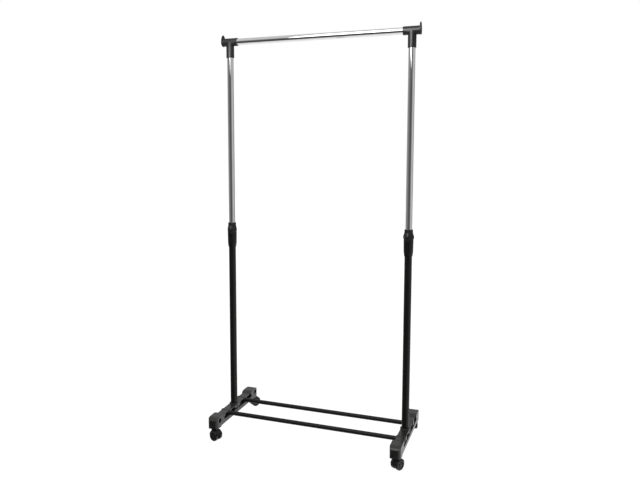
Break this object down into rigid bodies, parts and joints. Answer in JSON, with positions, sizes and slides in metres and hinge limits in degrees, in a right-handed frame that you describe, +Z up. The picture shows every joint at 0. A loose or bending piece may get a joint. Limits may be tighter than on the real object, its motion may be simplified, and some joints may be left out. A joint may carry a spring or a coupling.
{
  "type": "rolling clothes rack",
  "caption": "Rolling garment rack with a chrome hanging rail, height-adjustable uprights with twist locks, moulded feet and swivel casters.",
  "frame": {"origin": "on the floor under the middle of the rack", "axes": "+X along the hanging rail, +Y towards the back, +Z up"},
  "size_m": [0.795, 0.4117, 1.595],
  "materials": {
    "foot_plastic": "fine moulded texture",
    "black_plastic": "satin moulded",
    "black_paint": "satin powder coat",
    "chrome": "polished",
    "wheel_nylon": "satin",
    "zinc_steel": "zinc plated"
  },
  "bodies": {
    "base": {"front_cross_rod": "black_paint", "rear_cross_rod": "black_paint", "left_foot": "foot_plastic", "right_foot": "foot_plastic", "left_lower_tube": "black_paint", "right_lower_tube": "black_paint", "left_tube_nut": "black_plastic", "right_tube_nut": "black_plastic", "left_foot_screw": "zinc_steel", "right_foot_screw": "zinc_steel", "left_lock_body": "black_plastic", "right_lock_body": "black_plastic", "left_lock_collet": "black_plastic", "right_lock_collet": "black_plastic", "front_left_stem_sleeve": "black_plastic", "front_right_stem_sleeve": "black_plastic", "rear_left_stem_sleeve": "black_plastic", "rear_right_stem_sleeve": "black_plastic"},
    "top_frame": {"left_upper_tube": "chrome", "right_upper_tube": "chrome", "left_guide_bush": "black_plastic", "right_guide_bush": "black_plastic", "left_tee_connector": "black_plastic", "right_tee_connector": "black_plastic", "top_rail": "chrome", "left_end_cap": "black_plastic", "right_end_cap": "black_plastic"},
    "left_knob": {"left_lock_knob": "black_plastic"},
    "right_knob": {"right_lock_knob": "black_plastic"},
    "front_left_swivel": {"front_left_caster_housing": "black_plastic", "front_left_caster_stem": "zinc_steel", "front_left_caster_axle": "zinc_steel"},
    "front_left_left_wheel": {"front_left_caster_left_wheel": "wheel_nylon"},
    "front_left_right_wheel": {"front_left_caster_right_wheel": "wheel_nylon"},
    "front_right_swivel": {"front_right_caster_housing": "black_plastic", "front_right_caster_stem": "zinc_steel", "front_right_caster_axle": "zinc_steel"},
    "front_right_left_wheel": {"front_right_caster_left_wheel": "wheel_nylon"},
    "front_right_right_wheel": {"front_right_caster_right_wheel": "wheel_nylon"},
    "rear_left_swivel": {"rear_left_caster_housing": "black_plastic", "rear_left_caster_stem": "zinc_steel", "rear_left_caster_axle": "zinc_steel"},
    "rear_left_left_wheel": {"rear_left_caster_left_wheel": "wheel_nylon"},
    "rear_left_right_wheel": {"rear_left_caster_right_wheel": "wheel_nylon"},
    "rear_right_swivel": {"rear_right_caster_housing": "black_plastic", "rear_right_caster_stem": "zinc_steel", "rear_right_caster_axle": "zinc_steel"},
    "rear_right_left_wheel": {"rear_right_caster_left_wheel": "wheel_nylon"},
    "rear_right_right_wheel": {"rear_right_caster_right_wheel": "wheel_nylon"}
  },
  "joints": [
    {"name": "height_slide", "type": "slide", "parent": "base", "child": "top_frame", "axis": [0, 0, 1], "range_m": [-0.6, 0]},
    {"name": "left_knob_turn", "type": "hinge", "parent": "base", "child": "left_knob", "pos_m": [-0.365, 0, 0.825], "axis": [0, 0, 1], "range_deg": [0, 180]},
    {"name": "right_knob_turn", "type": "hinge", "parent": "base", "child": "right_knob", "pos_m": [0.365, 0, 0.825], "axis": [0, 0, 1], "range_deg": [0, 180]},
    {"name": "front_left_swivel_turn", "type": "hinge", "parent": "base", "child": "front_left_swivel", "pos_m": [-0.365, -0.175, 0.04], "axis": [0, 0, 1], "continuous": true},
    {"name": "front_left_left_wheel_roll", "type": "hinge", "parent": "front_left_swivel", "child": "front_left_left_wheel", "pos_m": [-0.35352, -0.17851, 0.0195], "axis": [0.2924, 0.9563, 0], "continuous": true},
    {"name": "front_left_right_wheel_roll", "type": "hinge", "parent": "front_left_swivel", "child": "front_left_right_wheel", "pos_m": [-0.35352, -0.17851, 0.0195], "axis": [0.2924, 0.9563, 0], "continuous": true},
    {"name": "front_right_swivel_turn", "type": "hinge", "parent": "base", "child": "front_right_swivel", "pos_m": [0.365, -0.175, 0.04], "axis": [0, 0, 1], "continuous": true},
    {"name": "front_right_left_wheel_roll", "type": "hinge", "parent": "front_right_swivel", "child": "front_right_left_wheel", "pos_m": [0.371, -0.16461, 0.0195], "axis": [-0.866, 0.5, 0], "continuous": true},
    {"name": "front_right_right_wheel_roll", "type": "hinge", "parent": "front_right_swivel", "child": "front_right_right_wheel", "pos_m": [0.371, -0.16461, 0.0195], "axis": [-0.866, 0.5, 0], "continuous": true},
    {"name": "rear_left_swivel_turn", "type": "hinge", "parent": "base", "child": "rear_left_swivel", "pos_m": [-0.365, 0.175, 0.04], "axis": [0, 0, 1], "continuous": true},
    {"name": "rear_left_left_wheel_roll", "type": "hinge", "parent": "rear_left_swivel", "child": "rear_left_left_wheel", "pos_m": [-0.35812, 0.18483, 0.0195], "axis": [-0.8192, 0.5736, 0], "continuous": true},
    {"name": "rear_left_right_wheel_roll", "type": "hinge", "parent": "rear_left_swivel", "child": "rear_left_right_wheel", "pos_m": [-0.35812, 0.18483, 0.0195], "axis": [-0.8192, 0.5736, 0], "continuous": true},
    {"name": "rear_right_swivel_turn", "type": "hinge", "parent": "base", "child": "rear_right_swivel", "pos_m": [0.365, 0.175, 0.04], "axis": [0, 0, 1], "continuous": true},
    {"name": "rear_right_left_wheel_roll", "type": "hinge", "parent": "rear_right_swivel", "child": "rear_right_left_wheel", "pos_m": [0.3609, 0.18628, 0.0195], "axis": [-0.9397, -0.342, 0], "continuous": true},
    {"name": "rear_right_right_wheel_roll", "type": "hinge", "parent": "rear_right_swivel", "child": "rear_right_right_wheel", "pos_m": [0.3609, 0.18628, 0.0195], "axis": [-0.9397, -0.342, 0], "continuous": true}
  ]
}
